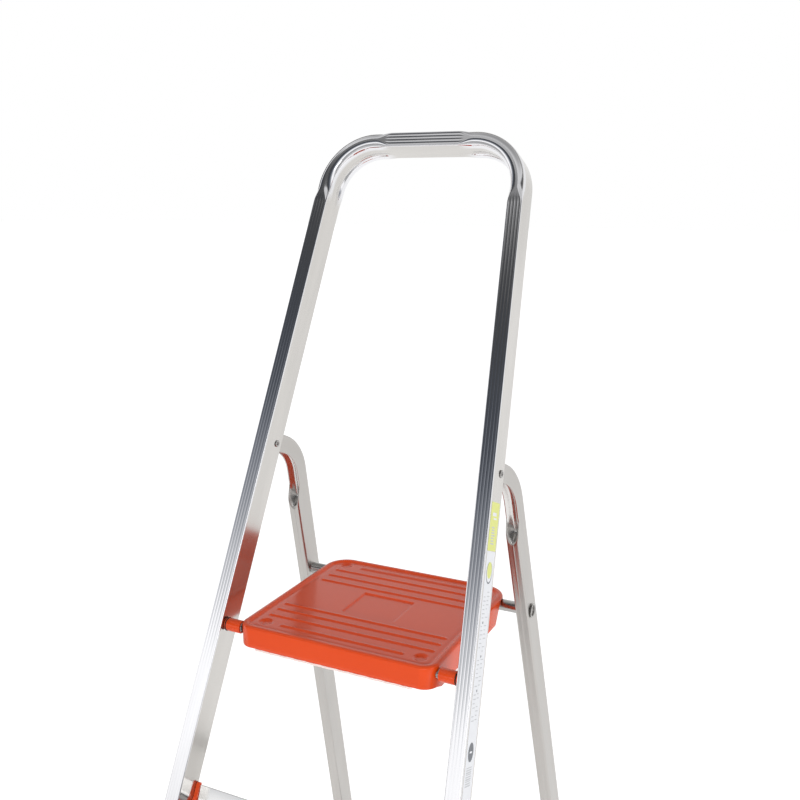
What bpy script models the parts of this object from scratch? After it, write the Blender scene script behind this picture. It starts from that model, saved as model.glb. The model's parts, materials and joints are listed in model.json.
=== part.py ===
"""Folding platform step ladder: a hooped channel front frame with four treads and a
standing platform, and a tubular rear frame that folds under it.

Lengths are in millimetres until the helpers turn them into metres. X is across the
ladder, +Y is towards the rear legs, +Z is up and the floor is at zero.
"""

import math

import bmesh
import bpy
from mathutils import Matrix, Vector

MM = 0.001

# Where the two joint axes are, and how the frames stand
ROD_Y = -19.6
ROD_Z = 1138.2
LEAN_FRONT = 22.87
LEAN_REAR = 15.03
TAPER_FRONT = 3.39
TAPER_REAR = 2.6
HINGE_BACK = 13.65
HINGE_UP = 237.4

# Front hoop: a U-channel, open to the rear
STILE_WIDTH = 19.4
STILE_FRONT = -12.0
STILE_REAR = 24.2
STILE_WALL = 1.2
HALF_SPREAD = 180.1
HOOP_TOP = 660.2
HOOP_FOOT = -1216.0
HOOP_CORNER = 75.0

# Treads
TREAD_COUNT = 4
TREAD_PITCH = 230.0
TREAD_SURFACE = 11.84
TREAD_DEPTH = 80.0
TREAD_SHEET = 2.2
TREAD_FASCIA = 25.0
LIP_RISE = 21.0
CAP_BAND = 5.0
CAP_PROUD = 2.0
PLUG_LENGTH = 14.0
SCREW_DROP = 12.0
SCREW_BACKS = (14.0, 34.0)

# Platform tray
TRAY_HALF_WIDTH = 134.3
TRAY_FRONT = -16.0
TRAY_REAR = 237.1
TRAY_TOP = 11.84
TRAY_DECK = 10.2
TRAY_SHEET = 1.6
TRAY_RIM = 5.0
RECESS_DEPTH = 1.6
FLANGE_FRONT_LOW = -16.5
FLANGE_SIDE_LOW = -21.0

# Rear legs and the rods across them
LEG_DEPTH = 32.5
LEG_WIDTH = 17.1
NECK_WIDTH = 14.6
LEG_WALL = 1.3
LEG_BACK = 46.25
NECK_CORNER = 63.6
NECK_BEND = 51.0
NECK_START = -69.0
NECK_PAST = 38.3
LEG_FOOT = -1396.0
REAR_ROD_UP = -233.0
REAR_ROD_BACK = 44.7
BRACE_UPS = (-233.0, -750.0, -1150.0)
TUBE_RADIUS = 7.5
TUBE_BORE = 6.3
FLARE_RADIUS = 9.6
FLARE_THICK = 1.6
ROD_RADIUS = 4.0
SHOE_WALL = 3.0
GAP = 0.3

SATIN = ((0.62, 0.61, 0.60), 0.38, 1.0)
STEEL = ((0.55, 0.55, 0.56), 0.30, 1.0)
ORANGE = ((0.80, 0.085, 0.012), 0.35, 0.0)
ORANGE_PLASTIC = ((0.78, 0.09, 0.015), 0.45, 0.0)
BLACK = ((0.02, 0.02, 0.02), 0.50, 0.0)


def cos(degrees):
    return math.cos(math.radians(degrees))


def sin(degrees):
    return math.sin(math.radians(degrees))


def tan(degrees):
    return math.tan(math.radians(degrees))


def clear_scene():
    for obj in list(bpy.data.objects):
        bpy.data.objects.remove(obj, do_unlink=True)


def new_collection(name):
    found = bpy.data.collections.new(name)
    bpy.context.scene.collection.children.link(found)
    return found


clear_scene()
ladder = new_collection("platform_step_ladder")
cutters = new_collection("cutters")
cutters.hide_render = True

# The outline planes: across the ladder, along its side, and level
FRONT_VIEW = Matrix(((1, 0, 0, 0), (0, 0, -1, 0), (0, 1, 0, 0), (0, 0, 0, 1)))
SIDE_VIEW = Matrix(((0, 0, 1, 0), (1, 0, 0, 0), (0, 1, 0, 0), (0, 0, 0, 1)))
TOP_VIEW = Matrix.Identity(4)


def empty(name, location, lean):
    made = bpy.data.objects.new(name, None)
    made.location = Vector(location) * MM
    made.rotation_euler = (math.radians(lean), 0, 0)
    made.empty_display_size = 0.05
    ladder.objects.link(made)
    return made


def material(name, look):
    colour, roughness, metallic = look
    made = bpy.data.materials.new(name)
    made.use_nodes = True
    shader = made.node_tree.nodes["Principled BSDF"]
    shader.inputs["Base Color"].default_value = (*colour, 1)
    shader.inputs["Roughness"].default_value = roughness
    shader.inputs["Metallic"].default_value = metallic
    made.diffuse_color = (*colour, 1)
    return made


def rounded(corners, steps=4):
    """The points of an outline whose corners are (a, b, radius)."""
    points = []
    count = len(corners)
    for i, (a, b, radius) in enumerate(corners):
        here = Vector((a, b))
        if radius == 0:
            points.append(here)
            continue
        back = (Vector(corners[i - 1][:2]) - here).normalized()
        on = (Vector(corners[(i + 1) % count][:2]) - here).normalized()
        half = back.angle(on) / 2
        centre = here + (back + on).normalized() * (radius / math.sin(half))
        first = here + back * (radius / math.tan(half)) - centre
        last = here + on * (radius / math.tan(half)) - centre
        sweep = first.angle_signed(last)
        for step in range(steps + 1):
            turn = Matrix.Rotation(-sweep * step / steps, 2)
            points.append(centre + turn @ first)
    return points


def circle(a, b, radius, count=16):
    return [
        Vector((a + radius * cos(360 * i / count), b + radius * sin(360 * i / count)))
        for i in range(count)
    ]


def plate_mesh(name, outlines, low, high, view):
    """The mesh of flat outlines extruded from low to high across their view."""
    curve = bpy.data.curves.new(name, "CURVE")
    curve.dimensions = "2D"
    curve.fill_mode = "BOTH"
    curve.extrude = (high - low) / 2 * MM
    for outline in outlines:
        spline = curve.splines.new("POLY")
        spline.points.add(len(outline) - 1)
        for point, place in zip(spline.points, outline):
            point.co = (place[0] * MM, place[1] * MM, 0, 1)
        spline.use_cyclic_u = True
    guide = bpy.data.objects.new(name + "_outline", curve)
    cutters.objects.link(guide)
    graph = bpy.context.evaluated_depsgraph_get()
    mesh = bpy.data.meshes.new_from_object(guide.evaluated_get(graph))
    bpy.data.objects.remove(guide)
    mesh.transform(view @ Matrix.Translation((0, 0, (low + high) / 2 * MM)))
    mesh.name = name
    weld(mesh)
    return mesh


def weld(mesh):
    shape = bmesh.new()
    shape.from_mesh(mesh)
    bmesh.ops.remove_doubles(shape, verts=shape.verts, dist=0.000002)
    bmesh.ops.recalc_face_normals(shape, faces=shape.faces)
    shape.to_mesh(mesh)
    shape.free()


def bar_mesh(name, bars):
    """One mesh of separate bars along X, each (start, end, y, z, radius, sides)."""
    shape = bmesh.new()
    for start, end, y, z, radius, sides in bars:
        place = Matrix.Translation(Vector(((start + end) / 2, y, z)) * MM)
        place = place @ Matrix.Rotation(math.pi / 2, 4, "Y")
        bmesh.ops.create_cone(
            shape,
            cap_ends=True,
            segments=sides,
            radius1=radius * MM,
            radius2=radius * MM,
            depth=(end - start) * MM,
            matrix=place,
        )
    mesh = bpy.data.meshes.new(name)
    shape.to_mesh(mesh)
    shape.free()
    return mesh


def shifted(mesh, move):
    """Moves each point of a mesh by what move returns for it, all in millimetres."""
    for vertex in mesh.vertices:
        vertex.co += Vector(move(*(vertex.co / MM))) * MM
    return mesh


def joined(name, meshes):
    shape = bmesh.new()
    for mesh in meshes:
        shape.from_mesh(mesh)
    made = bpy.data.meshes.new(name)
    shape.to_mesh(made)
    shape.free()
    return made


def piece(name, mesh, parent, look):
    made = bpy.data.objects.new(name, mesh)
    made.parent = parent
    mesh.materials.clear()
    mesh.materials.append(material(name, look))
    ladder.objects.link(made)
    return made


def combine(target, mesh, operation):
    """Adds or takes away a mesh that is in the target's own frame."""
    tool = bpy.data.objects.new(mesh.name, mesh)
    tool.parent = target
    tool.hide_render = True
    tool.display_type = "WIRE"
    cutters.objects.link(tool)
    modifier = target.modifiers.new(mesh.name, "BOOLEAN")
    modifier.object = tool
    modifier.operation = operation
    modifier.solver = "EXACT"


def turned(name, profile, parent, x, y, z, look, sides=20):
    """A piece turned about a line along X, from (along, radius) points, +X end first."""
    shape = bmesh.new()
    points = [shape.verts.new((radius * MM, 0, along * MM)) for along, radius in profile]
    for first, second in zip(points, points[1:]):
        shape.edges.new((first, second))
    if profile[0][1] > 0:
        shape.edges.new((points[-1], points[0]))
    mesh = bpy.data.meshes.new(name)
    shape.to_mesh(mesh)
    shape.free()
    made = piece(name, mesh, parent, look)
    made.location = Vector((x, y, z)) * MM
    made.rotation_euler = (0, math.pi / 2, 0)
    screw = made.modifiers.new("turn", "SCREW")
    screw.steps = sides
    screw.render_steps = sides
    screw.use_merge_vertices = True
    screw.merge_threshold = 0.00001
    screw.use_smooth_shade = True
    return made


def half_spread(up):
    """Half the front frame's outer width at a height along its stiles."""
    return HALF_SPREAD - up * tan(TAPER_FRONT)


def stile_inside(y, z):
    """The x of a stile's inner side at a point given from the front rod."""
    return half_spread(y * sin(LEAN_FRONT) + z * cos(LEAN_FRONT)) - STILE_WIDTH


def hoop_path(inset, foot):
    """The corners of one edge of the hoop, so far inside its outer edge."""
    up = HOOP_TOP - inset
    half = half_spread(up) - inset / cos(TAPER_FRONT)
    low = half_spread(foot) - inset / cos(TAPER_FRONT)
    radius = HOOP_CORNER - inset
    return [(-low, foot, 0), (-half, up, radius), (half, up, radius), (low, foot, 0)]


def hoop_band(inset, width, foot):
    outside = rounded(hoop_path(inset, foot), 8)
    inside = rounded(hoop_path(inset + width, foot), 8)
    return outside + inside[::-1]


rod_axis = empty("platform_hinge_axis", (0, ROD_Y, ROD_Z), 0)
front_axis = empty("front_frame_axis", (0, ROD_Y, ROD_Z), -LEAN_FRONT)
hinge_y = HINGE_BACK * cos(LEAN_FRONT) + HINGE_UP * sin(LEAN_FRONT)
hinge_z = HINGE_UP * cos(LEAN_FRONT) - HINGE_BACK * sin(LEAN_FRONT)
hinge_axis = empty("rear_hinge_axis", (0, ROD_Y + hinge_y, ROD_Z + hinge_z), LEAN_REAR)
hinge_x = half_spread(HINGE_UP) - STILE_WIDTH / 2


def both_sides(start, end, y, z, radius, sides):
    """The same bar on the right and on the left."""
    return [(start, end, y, z, radius, sides), (-end, -start, y, z, radius, sides)]


def screw_places(level):
    """Where the two screws of a tread's end are, from the front rod."""
    surface = TREAD_SURFACE - TREAD_PITCH * level
    rear = STILE_REAR / cos(LEAN_FRONT) + surface * tan(LEAN_FRONT)
    return [(rear - back, surface - SCREW_DROP) for back in SCREW_BACKS]


def in_front_frame(y, z):
    return (
        y * cos(LEAN_FRONT) - z * sin(LEAN_FRONT),
        y * sin(LEAN_FRONT) + z * cos(LEAN_FRONT),
    )


# The hoop, cut out from behind into a channel, with its holes
hoop_mesh = plate_mesh(
    "front_hoop",
    [hoop_band(0, STILE_WIDTH, HOOP_FOOT)],
    -STILE_REAR,
    -STILE_FRONT,
    FRONT_VIEW,
)
front_hoop = piece("front_hoop", hoop_mesh, front_axis, SATIN)
holes = both_sides(152, 170, 0, 0, ROD_RADIUS + 0.5, 16)
holes += both_sides(120, 190, HINGE_BACK, HINGE_UP, 3.6, 16)
for level in range(1, TREAD_COUNT + 1):
    for screw_y, screw_z in screw_places(level):
        back, up = in_front_frame(screw_y, screw_z)
        inside = half_spread(up) - STILE_WIDTH
        holes += both_sides(inside - 6, inside + 8, back, up, 2.4, 8)
combine(front_hoop, bar_mesh("hoop_holes", holes), "DIFFERENCE")
combine(
    front_hoop,
    plate_mesh(
        "channel_hollow",
        [hoop_band(STILE_WALL, STILE_WIDTH - 2 * STILE_WALL, HOOP_FOOT - 20)],
        -STILE_REAR - 20,
        -STILE_FRONT - STILE_WALL,
        FRONT_VIEW,
    ),
    "DIFFERENCE",
)


def tread_outline():
    """A tread's section from the rear edge of the stiles, at its own surface."""
    slope = Vector((sin(LEAN_FRONT), cos(LEAN_FRONT)))
    lip = slope * (LIP_RISE / slope.y)
    sheet = TREAD_SHEET
    corners = [
        (lip.x, lip.y, 0),
        (0, 0, 0),
        (0, -22, 0),
        (-sheet, -22, 0),
        (-sheet, -sheet, 0),
        (sheet - TREAD_DEPTH, -sheet, 0),
        (sheet - TREAD_DEPTH, sheet - TREAD_FASCIA, 0),
        (10 - TREAD_DEPTH, sheet - TREAD_FASCIA, 0),
        (10 - TREAD_DEPTH, -TREAD_FASCIA, 0),
        (-TREAD_DEPTH, -TREAD_FASCIA, 1.5),
        (-TREAD_DEPTH, 0, 2.5),
    ]
    for rib in range(10):
        start = 6 + rib * 5.6 - TREAD_DEPTH
        corners += [(start, 0, 0), (start + 0.6, -0.9, 0)]
        corners += [(start + 2.6, -0.9, 0), (start + 3.2, 0, 0)]
    across = Vector((-slope.y, slope.x)) * sheet
    foot = across.x - across.y * slope.x / slope.y
    corners += [(foot, 0, 12), (lip.x + across.x, lip.y + across.y, 0)]
    return rounded(corners, 3)


def cap_outline():
    """A tread cap's outer outline, proud of the tread all round."""
    slope = Vector((sin(LEAN_FRONT), cos(LEAN_FRONT)))
    top = LIP_RISE + CAP_PROUD
    rise = slope * (top / slope.y)
    across = Vector((-slope.y, slope.x)) * (TREAD_SHEET + CAP_PROUD)
    back = 0.5
    foot = across.x - (across.y - CAP_PROUD) * slope.x / slope.y
    corners = [
        (rise.x + back, rise.y, 1.5),
        (back, 0, 0),
        (back, -24, 1.5),
        (-TREAD_DEPTH - CAP_PROUD, -TREAD_FASCIA - CAP_PROUD, 2.5),
        (-TREAD_DEPTH - CAP_PROUD, CAP_PROUD, 4),
        (foot, CAP_PROUD, 10),
        (rise.x + across.x, rise.y + across.y, 1.5),
    ]
    return rounded(corners, 3)


def moved(outline, y, z):
    return [(a + y, b + z) for a, b in outline]


def plug_outline():
    deep = TREAD_SHEET + 0.4
    front = deep - TREAD_DEPTH
    low = TREAD_SHEET - TREAD_FASCIA + 0.6
    return rounded([(-deep, -deep, 1), (-deep, low, 1), (front, low, 1), (front, -deep, 1)], 1)


# Treads, their end caps and the screws through the stiles into the caps
for level in range(1, TREAD_COUNT + 1):
    surface = TREAD_SURFACE - TREAD_PITCH * level
    rear = STILE_REAR / cos(LEAN_FRONT) + surface * tan(LEAN_FRONT)
    nearest = stile_inside(rear, surface + LIP_RISE + CAP_PROUD)
    cap_end = nearest - GAP - CAP_BAND
    tread_end = cap_end - GAP
    outline = moved(tread_outline(), rear, surface)
    mesh = plate_mesh("tread", [outline], -tread_end, tread_end, SIDE_VIEW)
    piece(f"tread_{level}", mesh, rod_axis, SATIN)
    plug = [moved(plug_outline(), rear, surface)]
    rim = [moved(cap_outline(), rear, surface)]
    for side, name in ((1, "right"), (-1, "left")):
        start, end = sorted((side * cap_end, side * (cap_end + 1)))
        mesh = plate_mesh("cap", rim, start, end, SIDE_VIEW)

        def to_stile(x, y, z):
            if abs(x) < cap_end + 0.5:
                return (0, 0, 0)
            return (side * (stile_inside(y, z) - GAP) - x, 0, 0)

        shifted(mesh, to_stile)
        cap = piece(f"tread_cap_{name}_{level}", mesh, rod_axis, ORANGE_PLASTIC)
        start, end = sorted((side * (cap_end - PLUG_LENGTH), side * (cap_end + 2)))
        combine(cap, plate_mesh("plug", plug, start, end, SIDE_VIEW), "UNION")
        bores = []
        for place, (screw_y, screw_z) in enumerate(screw_places(level)):
            inside = stile_inside(screw_y, screw_z)
            reach = inside - PLUG_LENGTH
            start, end = sorted((side * (reach - 2), side * (inside + 4)))
            bores.append((start, end, screw_y, screw_z, 2.2, 8))
            head = inside + STILE_WALL + 0.5
            profile = [(head + 2, 0), (head + 2, 3.4), (head, 4.2), (head, 1.9), (reach, 1.9), (reach, 0)]
            if side < 0:
                profile = [(-along, radius) for along, radius in profile[::-1]]
            turned(
                f"tread_screw_{name}_{level}_{'ab'[place]}",
                profile,
                rod_axis,
                0,
                screw_y,
                screw_z,
                STEEL,
                8,
            )
        combine(cap, bar_mesh("cap_bores", bores), "DIFFERENCE")


# The front rod and what is threaded on it, from the stiles to the platform
stile_at_rod = half_spread(0) - STILE_WIDTH
rod_half = stile_at_rod + STILE_WALL + 9
rod_profile = [
    (rod_half, 0),
    (rod_half, ROD_RADIUS - 0.6),
    (rod_half - 1, ROD_RADIUS),
    (1 - rod_half, ROD_RADIUS),
    (-rod_half, ROD_RADIUS - 0.6),
    (-rod_half, 0),
]
turned(
    "front_rod",
    rod_profile,
    rod_axis,
    0,
    0,
    0,
    STEEL,
    16,
)
ring_out = stile_at_rod - 0.9
ring_in = ring_out - 2.5
washer_in = TRAY_HALF_WIDTH + GAP
washer_out = washer_in + 1.5
nut_in = stile_at_rod + STILE_WALL + 0.8


def ring(name, inner, outer, radius, bore, look, sides=20):
    """A pair of rings on the front rod, between two distances from the middle."""
    for side, where in ((1, "right"), (-1, "left")):
        far = max(side * inner, side * outer)
        near = min(side * inner, side * outer)
        profile = [(far, bore), (far, radius), (near, radius), (near, bore)]
        turned(f"{name}_{where}", profile, rod_axis, 0, 0, 0, look, sides)


ring("rod_ring", ring_in, ring_out, 8.6, 4.5, BLACK)
ring("rod_sleeve", washer_out + GAP, ring_in - GAP, 8.1, 4.5, ORANGE_PLASTIC, 24)
ring("rod_washer", washer_in, washer_out, 8.8, 4.5, STEEL)
ring("rod_nut", nut_in, nut_in + 5, 7.0, 4.95, STEEL, 6)


# The platform tray: a deep lid cut to its side outline, then pressed
def tray_plan(inset):
    side = TRAY_HALF_WIDTH - inset
    front = TRAY_FRONT + inset
    rear = TRAY_REAR - inset
    return rounded(
        [
            (-side, front, 25 - inset),
            (side, front, 25 - inset),
            (side, rear, 32 - inset),
            (-side, rear, 32 - inset),
        ],
        6,
    )


mesh = plate_mesh("platform_tray", [tray_plan(0)], -30, TRAY_TOP, TOP_VIEW)
tray = piece("platform_tray", mesh, rod_axis, ORANGE)
below = rounded(
    [
        (-60, -60, 0),
        (-60, FLANGE_FRONT_LOW, 0),
        (-2, FLANGE_FRONT_LOW, 6),
        (12, FLANGE_SIDE_LOW, 6),
        (190, FLANGE_SIDE_LOW, 0),
        (217, FLANGE_SIDE_LOW, 5),
        (231, -8, 4),
        (233, 0, 3),
        (290, 0, 0),
        (290, -60, 0),
    ],
    3,
)
combine(tray, plate_mesh("below_flanges", [below], -200, 200, SIDE_VIEW), "DIFFERENCE")
tray_hollow = plate_mesh("tray_hollow", [tray_plan(TRAY_SHEET)], -60, TRAY_DECK - TRAY_SHEET, TOP_VIEW)
combine(tray, tray_hollow, "DIFFERENCE")
combine(tray, plate_mesh("deck_sink", [tray_plan(TRAY_RIM)], TRAY_DECK, 40, TOP_VIEW), "DIFFERENCE")
recess = rounded([(-37, 78, 4), (37, 78, 4), (37, 143, 4), (-37, 143, 4)], 2)
under = rounded([(-39, 76, 5), (39, 76, 5), (39, 145, 5), (-39, 145, 5)], 2)
under_low = TRAY_DECK - TRAY_SHEET - RECESS_DEPTH
recess_under = plate_mesh("recess_under", [under], under_low, TRAY_DECK - 1, TOP_VIEW)
combine(tray, recess_under, "UNION")
combine(tray, plate_mesh("recess", [recess], TRAY_DECK - RECESS_DEPTH, 40, TOP_VIEW), "DIFFERENCE")
# Each rib is a distance back from the front rod and half its length.
ribs = ((9, 83), (30, 113), (48.5, 113), (66, 113), (156, 110), (175, 110), (195, 110), (214, 80))
rib_half = 4
rib_meshes = []
for rib_y, reach in ribs:
    corners = [
        (-reach, rib_y - rib_half, rib_half),
        (reach, rib_y - rib_half, rib_half),
        (reach, rib_y + rib_half, rib_half),
        (-reach, rib_y + rib_half, rib_half),
    ]
    outline = rounded(corners, 3)
    rib_meshes.append(plate_mesh("rib", [outline], TRAY_DECK - 0.6, TRAY_DECK + 1.3, TOP_VIEW))
combine(tray, joined("ribs", rib_meshes), "UNION")
dimples = [
    plate_mesh("dimple", [circle(x, y, 9, 16)], TRAY_DECK - 0.7, 40, TOP_VIEW)
    for x in (-107, 107)
    for y in (10, 216)
]
combine(tray, joined("dimples", dimples), "DIFFERENCE")
seat_y = hinge_y + REAR_ROD_BACK * cos(LEAN_REAR) - REAR_ROD_UP * sin(LEAN_REAR)
seat_z = hinge_z + REAR_ROD_BACK * sin(LEAN_REAR) + REAR_ROD_UP * cos(LEAN_REAR)
slot = rounded(
    [
        (seat_y + 13.4, seat_z + 8.3, 8),
        (seat_y - 6.0, seat_z + 8.3, 8),
        (seat_y - 30, seat_z - 30, 0),
        (seat_y - 6.0, seat_z - 30, 0),
    ],
    5,
)
combine(tray, plate_mesh("rod_slot", [slot], -200, 200, SIDE_VIEW), "DIFFERENCE")
combine(tray, bar_mesh("tray_bores", both_sides(120, 140, 0, 0, ROD_RADIUS + 0.5, 16)), "DIFFERENCE")


# Rear legs: a straight tube, bent forward at the top into the channel
def leg_outline(wall, foot, past):
    """One leg's side outline from its hinge, y back and z up."""
    half = LEG_DEPTH / 2 - wall
    forward = Vector((-sin(NECK_BEND), cos(NECK_BEND)))
    across = Vector((cos(NECK_BEND), sin(NECK_BEND)))
    centre = Vector((LEG_BACK - NECK_CORNER, NECK_START))
    bend_end = centre + across * NECK_CORNER
    tip = bend_end + forward * past
    steps = 8
    outer = []
    inner = []
    for step in range(steps + 1):
        angle = NECK_BEND * step / steps
        ray = Vector((cos(angle), sin(angle)))
        outer.append(centre + ray * (NECK_CORNER + half))
        inner.append(centre + ray * (NECK_CORNER - half))
    path = [Vector((LEG_BACK + half, foot))] + outer + [tip + across * half]
    return path + [tip - across * half] + inner[::-1] + [Vector((LEG_BACK - half, foot))]


def leg_middle(up):
    """The x of a leg's middle at a height along it, from its hinge."""
    return hinge_x - up * tan(TAPER_REAR)


def leg_mesh(name, wall, foot, past, side):
    mesh = plate_mesh(name, [leg_outline(wall, foot, past)], -1, 1, SIDE_VIEW)

    def shape(x, y, z):
        along = min(max((z - NECK_START) / 50, 0), 1)
        half = (LEG_WIDTH * (1 - along) + NECK_WIDTH * along) / 2 - wall
        return (x * half - x + side * leg_middle(z), 0, 0)

    return shifted(mesh, shape)


for side, name in ((1, "right"), (-1, "left")):
    leg = piece(f"rear_leg_{name}", leg_mesh("leg", 0, LEG_FOOT, NECK_PAST, side), hinge_axis, SATIN)
    combine(leg, leg_mesh("leg_hollow", LEG_WALL, LEG_FOOT - 20, NECK_PAST + 20, side), "DIFFERENCE")
    bores = [(side * hinge_x - 20, side * hinge_x + 20, 0, 0, 3.6, 16)]
    for up in BRACE_UPS:
        middle = side * leg_middle(up)
        back = REAR_ROD_BACK if up == REAR_ROD_UP else LEG_BACK
        bores.append((middle - 20, middle + 20, back, up, TUBE_RADIUS + 0.4, 16))
    combine(leg, bar_mesh("leg_bores", bores), "DIFFERENCE")
    outer = half_spread(HINGE_UP) + 1.0
    inner = half_spread(HINGE_UP) - STILE_WIDTH - 1.0
    profile = [
        (outer + 1.6, 0),
        (outer + 1.6, 3.2),
        (outer, 5.0),
        (outer, 3.1),
        (inner, 3.1),
        (inner, 5.0),
        (inner - 1.6, 3.2),
        (inner - 1.6, 0),
    ]
    if side < 0:
        profile = [(-along, radius) for along, radius in profile[::-1]]
    turned(f"pivot_rivet_{name}", profile, front_axis, 0, HINGE_BACK, HINGE_UP, STEEL, 16)

# The rear rod that the platform hooks over, and the two braces below it
for up, name in zip(BRACE_UPS, ("rear_rod", "rear_brace_upper", "rear_brace_lower")):
    end = leg_middle(up) + LEG_WIDTH / 2 + 1.2
    back = REAR_ROD_BACK if up == REAR_ROD_UP else LEG_BACK
    profile = [
        (end + FLARE_THICK, TUBE_BORE),
        (end + FLARE_THICK, FLARE_RADIUS),
        (end, FLARE_RADIUS),
        (end, TUBE_RADIUS),
        (-end, TUBE_RADIUS),
        (-end, FLARE_RADIUS),
        (-end - FLARE_THICK, FLARE_RADIUS),
        (-end - FLARE_THICK, TUBE_BORE),
    ]
    turned(name, profile, hinge_axis, 0, back, up, STEEL, 20)


# Moulded shoes, cut level with the floor
def shoe(name, low, high, front_rear, x_span, parent, floor):
    """A shoe from its outer section and pocket, each sheared along its stile."""
    front, rear = front_rear
    outline = rounded([(front, low, 0), (rear, low, 0), (rear, high, 3), (front, high, 3)], 2)
    mesh = plate_mesh(name, [outline], -1, 1, SIDE_VIEW)
    made = piece(name, shifted(mesh, x_span(SHOE_WALL, SHOE_WALL)), parent, ORANGE_PLASTIC)
    pocket_low = HOOP_FOOT - GAP if parent is front_axis else LEG_FOOT - GAP
    pocket_front = front + SHOE_WALL - GAP
    pocket_rear = rear - SHOE_WALL + GAP
    pocket = [
        (pocket_front, pocket_low),
        (pocket_rear, pocket_low),
        (pocket_rear, high + 20),
        (pocket_front, high + 20),
    ]
    mesh = plate_mesh("pocket", [pocket], -1, 1, SIDE_VIEW)
    combine(made, shifted(mesh, x_span(GAP, GAP)), "DIFFERENCE")
    combine(made, floor, "DIFFERENCE")


def floor_mesh(parent):
    """The ground below the feet, in the frame of a leaning pair of stiles."""
    below = [(-900, -200), (900, -200), (900, 0), (-900, 0)]
    mesh = plate_mesh("floor_cut", [below], -400, 400, SIDE_VIEW)
    origin = Vector(parent.location)
    turn = Matrix.Rotation(parent.rotation_euler.x, 4, "X")
    mesh.transform((Matrix.Translation(origin) @ turn).inverted())
    return mesh


for side, name in ((1, "right"), (-1, "left")):

    def front_span(outer, inner):
        def place(x, y, z):
            far = half_spread(z) + outer
            near = half_spread(z) - STILE_WIDTH / cos(TAPER_FRONT) - inner
            return (side * (far if x * side > 0 else near) - x, 0, 0)

        return place

    def rear_span(outer, inner):
        def place(x, y, z):
            far = leg_middle(z) + LEG_WIDTH / 2 + outer
            near = leg_middle(z) - LEG_WIDTH / 2 - inner
            return (side * (far if x * side > 0 else near) - x, 0, 0)

        return place

    edges = (STILE_FRONT - 3, STILE_REAR + 3)
    shoe(f"front_foot_{name}", -1260, -1168, edges, front_span, front_axis, floor_mesh(front_axis))
    edges = (LEG_BACK - LEG_DEPTH / 2 - 3, LEG_BACK + LEG_DEPTH / 2 + 3)
    foot_low = (hinge_axis.location.z / MM + 30) / cos(LEAN_REAR) * -1
    shoe(f"rear_foot_{name}", foot_low, foot_low + 95, edges, rear_span, hinge_axis, floor_mesh(hinge_axis))
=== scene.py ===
"""Looks of the platform step ladder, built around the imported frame.

Shapes are worked out in millimetres in one of three frames (the leaning front frame, a
rear leg, the level platform) and then placed in the row frame, in metres.
"""

import json
import math

import bmesh
import bpy
import numpy as np
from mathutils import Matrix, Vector


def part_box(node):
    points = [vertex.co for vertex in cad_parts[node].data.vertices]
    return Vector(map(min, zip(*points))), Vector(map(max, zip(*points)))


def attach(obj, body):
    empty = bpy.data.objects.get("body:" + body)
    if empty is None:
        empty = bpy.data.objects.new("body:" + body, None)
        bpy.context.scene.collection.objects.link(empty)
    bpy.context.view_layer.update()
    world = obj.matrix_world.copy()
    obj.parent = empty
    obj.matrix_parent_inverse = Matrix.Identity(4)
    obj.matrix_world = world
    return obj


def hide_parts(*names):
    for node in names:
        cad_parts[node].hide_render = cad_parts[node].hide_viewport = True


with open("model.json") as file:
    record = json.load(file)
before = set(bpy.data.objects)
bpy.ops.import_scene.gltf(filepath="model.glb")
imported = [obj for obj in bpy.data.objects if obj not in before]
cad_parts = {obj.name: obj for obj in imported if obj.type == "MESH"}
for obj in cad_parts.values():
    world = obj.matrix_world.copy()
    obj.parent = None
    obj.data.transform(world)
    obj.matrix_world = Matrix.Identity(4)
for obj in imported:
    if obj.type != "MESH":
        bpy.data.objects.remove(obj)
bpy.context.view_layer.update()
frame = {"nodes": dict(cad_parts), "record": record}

MM = 0.001
JOINTS = {j["name"]: j for j in frame["record"]["behaviour"]["joints"]}
HINGE = Vector(JOINTS["rear_fold"]["pos_m"])
ROD = Vector(JOINTS["platform_tilt"]["pos_m"])

LEAN_FRONT = math.radians(22.87)
LEAN_REAR = math.radians(15.03)
TAPER_FRONT = math.radians(3.39)
TAPER_REAR = math.radians(2.6)

# Front channel, as in the CAD model
HALF_SPREAD = 180.1
HOOP_TOP = 660.2
HOOP_FOOT = -1216.0
HOOP_CORNER = 75.0
STILE_WIDTH = 19.4
STILE_DEPTH = 36.2
STILE_FRONT = -12.0
STILE_WALL = 1.3
HINGE_UP = 237.4
RIVET_BACK = 13.65

# Rear leg
LEG_WIDTH = 17.1
NECK_WIDTH = 14.6
LEG_DEPTH = 32.5
LEG_BACK = 46.25
NECK_CORNER = 63.6
NECK_BEND = math.radians(51)
NECK_START = -69.0
NECK_STRAIGHT = 9.0
LEG_FOOT = -1396.0

# Platform
TRAY_HALF = 134.3
TRAY_FRONT = -16.0
TRAY_REAR = 237.1
TRAY_TOP = 11.84
TRAY_SHEET = 1.5
TRAY_EDGE = 4.0
TRAY_CORNER_FRONT = 20.0
TRAY_CORNER_REAR = 32.0
REAR_HOOK = 204
REAR_SEAT = 208.47
FLANGE_FRONT_LOW = -16.5
FLANGE_SIDE_LOW = -21.0

# Rod fittings
RING_WIDTH = 1.1
LEFT_WASHER_RADIUS = 6.6

# Treads
TREAD_PITCH = 230.0
TREAD_DEPTH = 80.0
TREAD_SHEET = 2.2
TREAD_FASCIA = 25.0
LIP_RISE = 21.0


# ---------------------------------------------------------------- placing
def from_front(x, y, z):
    """A point of the leaning front frame, whose Y is to the rear and Z along the stiles."""
    c, s = math.cos(LEAN_FRONT), math.sin(LEAN_FRONT)
    x, y, z = np.broadcast_arrays(x, y, z)
    return np.stack([x * MM, ROD.y + (y * c + z * s) * MM, ROD.z + (z * c - y * s) * MM], -1)


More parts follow.
